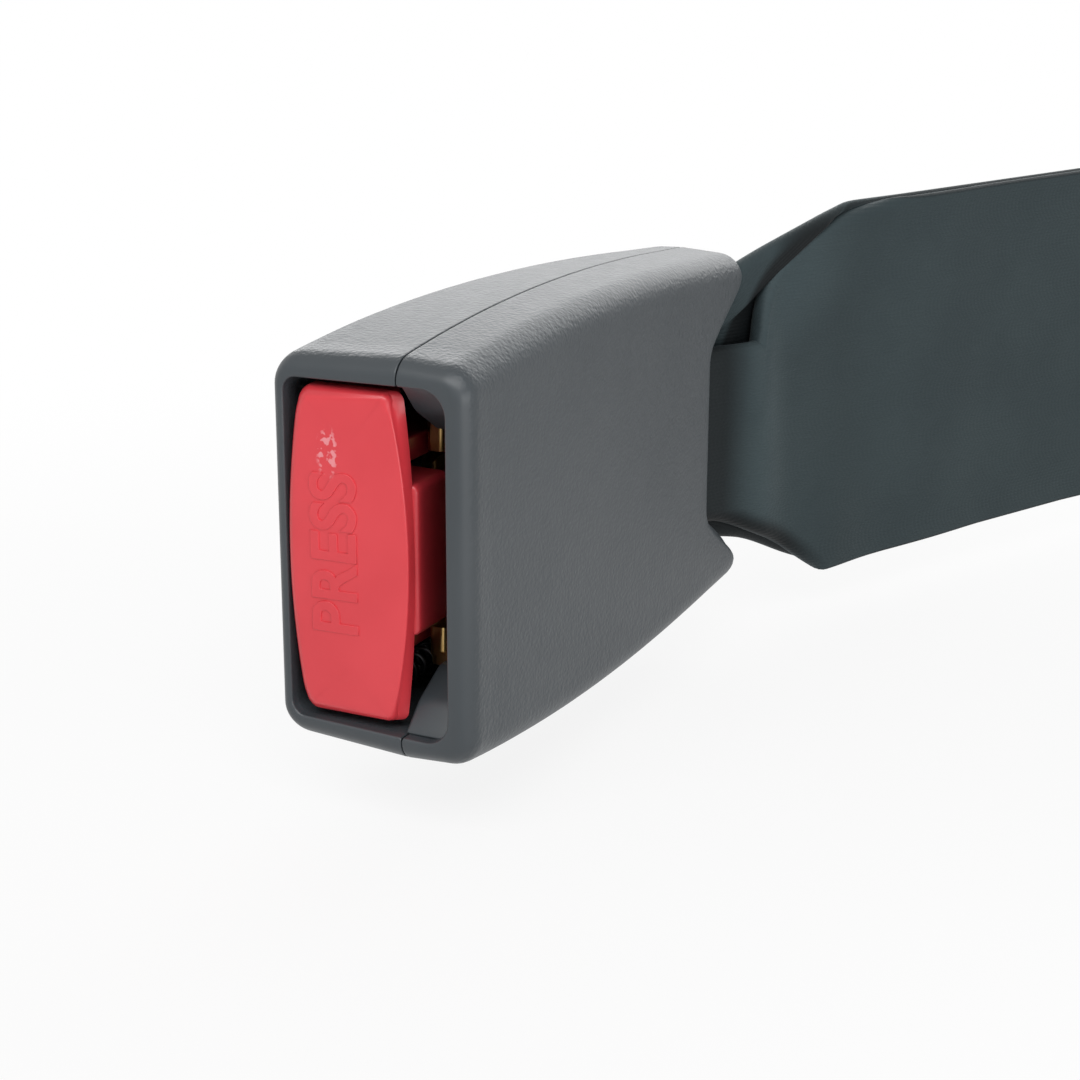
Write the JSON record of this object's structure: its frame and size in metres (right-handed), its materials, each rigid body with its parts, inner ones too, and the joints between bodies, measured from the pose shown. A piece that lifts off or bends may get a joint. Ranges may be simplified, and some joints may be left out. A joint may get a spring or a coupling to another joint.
{
  "type": "seat belt buckle",
  "caption": "Press-button seat belt buckle in a grey moulded housing, with latch and ejector inside, on a short webbing strap with a bolt-down floor anchor.",
  "frame": {"origin": "middle of the tongue slot's mouth, on the housing's front plane", "axes": "+X from the button end to the strap end, +Z across the width of the buckle, +Y from the tongue slot towards the press button"},
  "size_m": [0.2117, 0.0828, 0.057],
  "materials": {
    "cover_plastic": "finely grained moulding, dark grey",
    "button_plastic": "smooth glossy red",
    "zinc_steel": "yellow passivated zinc",
    "bright_steel": "ground",
    "spring_steel": "drawn wire",
    "plate_steel": "black coated steel",
    "dark_plastic": "moulded, black",
    "webbing": "woven polyester, dark grey",
    "thread": "sewing thread, near black"
  },
  "bodies": {
    "housing": {"near_cover": "cover_plastic", "far_cover": "cover_plastic", "frame": "zinc_steel", "latch_pin": "bright_steel", "pin_clips": "bright_steel", "spring_seat": "dark_plastic", "latch_springs": "spring_steel", "strap_bar_sleeve": "dark_plastic", "webbing_fold": "webbing", "button_springs": "spring_steel", "lock_springs": "spring_steel", "ejector_spring": "spring_steel"},
    "button": {"button": "button_plastic"},
    "latch": {"latch": "zinc_steel"},
    "lock": {"lock_bar": "bright_steel", "lock_slide": "dark_plastic"},
    "ejector": {"ejector": "dark_plastic"},
    "strap": {"strap_near_layer": "webbing", "strap_far_layer": "webbing", "strap_end_loop": "webbing", "strap_stitching": "thread"},
    "anchor": {"anchor_plate": "plate_steel", "anchor_sleeve": "dark_plastic"}
  },
  "joints": [
    {"name": "button_press", "type": "slide", "parent": "housing", "child": "button", "axis": [1, 0, 0], "range_m": [0, 0.006], "stiffness_N_per_m": 1200, "springref_m": -0.004, "deforming": ["button_springs"]},
    {"name": "ejector_slide", "type": "slide", "parent": "housing", "child": "ejector", "axis": [1, 0, 0], "range_m": [0, 0.012], "stiffness_N_per_m": 800, "springref_m": -0.004, "deforming": ["ejector_spring"]},
    {"name": "latch_pivot", "type": "hinge", "parent": "housing", "child": "latch", "pos_m": [0.039, 0.0044, 0], "axis": [0, 0, 1], "range_deg": [0, 13], "deforming": ["latch_springs"]},
    {"name": "lock_travel", "type": "slide", "parent": "housing", "child": "lock", "axis": [-1, 0, 0], "range_m": [0, 0.006], "deforming": ["lock_springs"]},
    {"name": "strap_bend", "type": "hinge", "parent": "housing", "child": "strap", "pos_m": [0.0655, 0.0015, 0], "axis": [0, 0, 1], "range_deg": [-20, 40]},
    {"name": "anchor_swing", "type": "hinge", "parent": "strap", "child": "anchor", "pos_m": [0.17321, -0.04668, 0], "axis": [0, 0, 1], "range_deg": [-60, 60]}
  ],
  "couplings": [
    {"joint": "latch_pivot", "follows": "ejector_slide", "rad_per_m": 18.908},
    {"joint": "lock_travel", "follows": "ejector_slide", "ratio": 0.5}
  ]
}
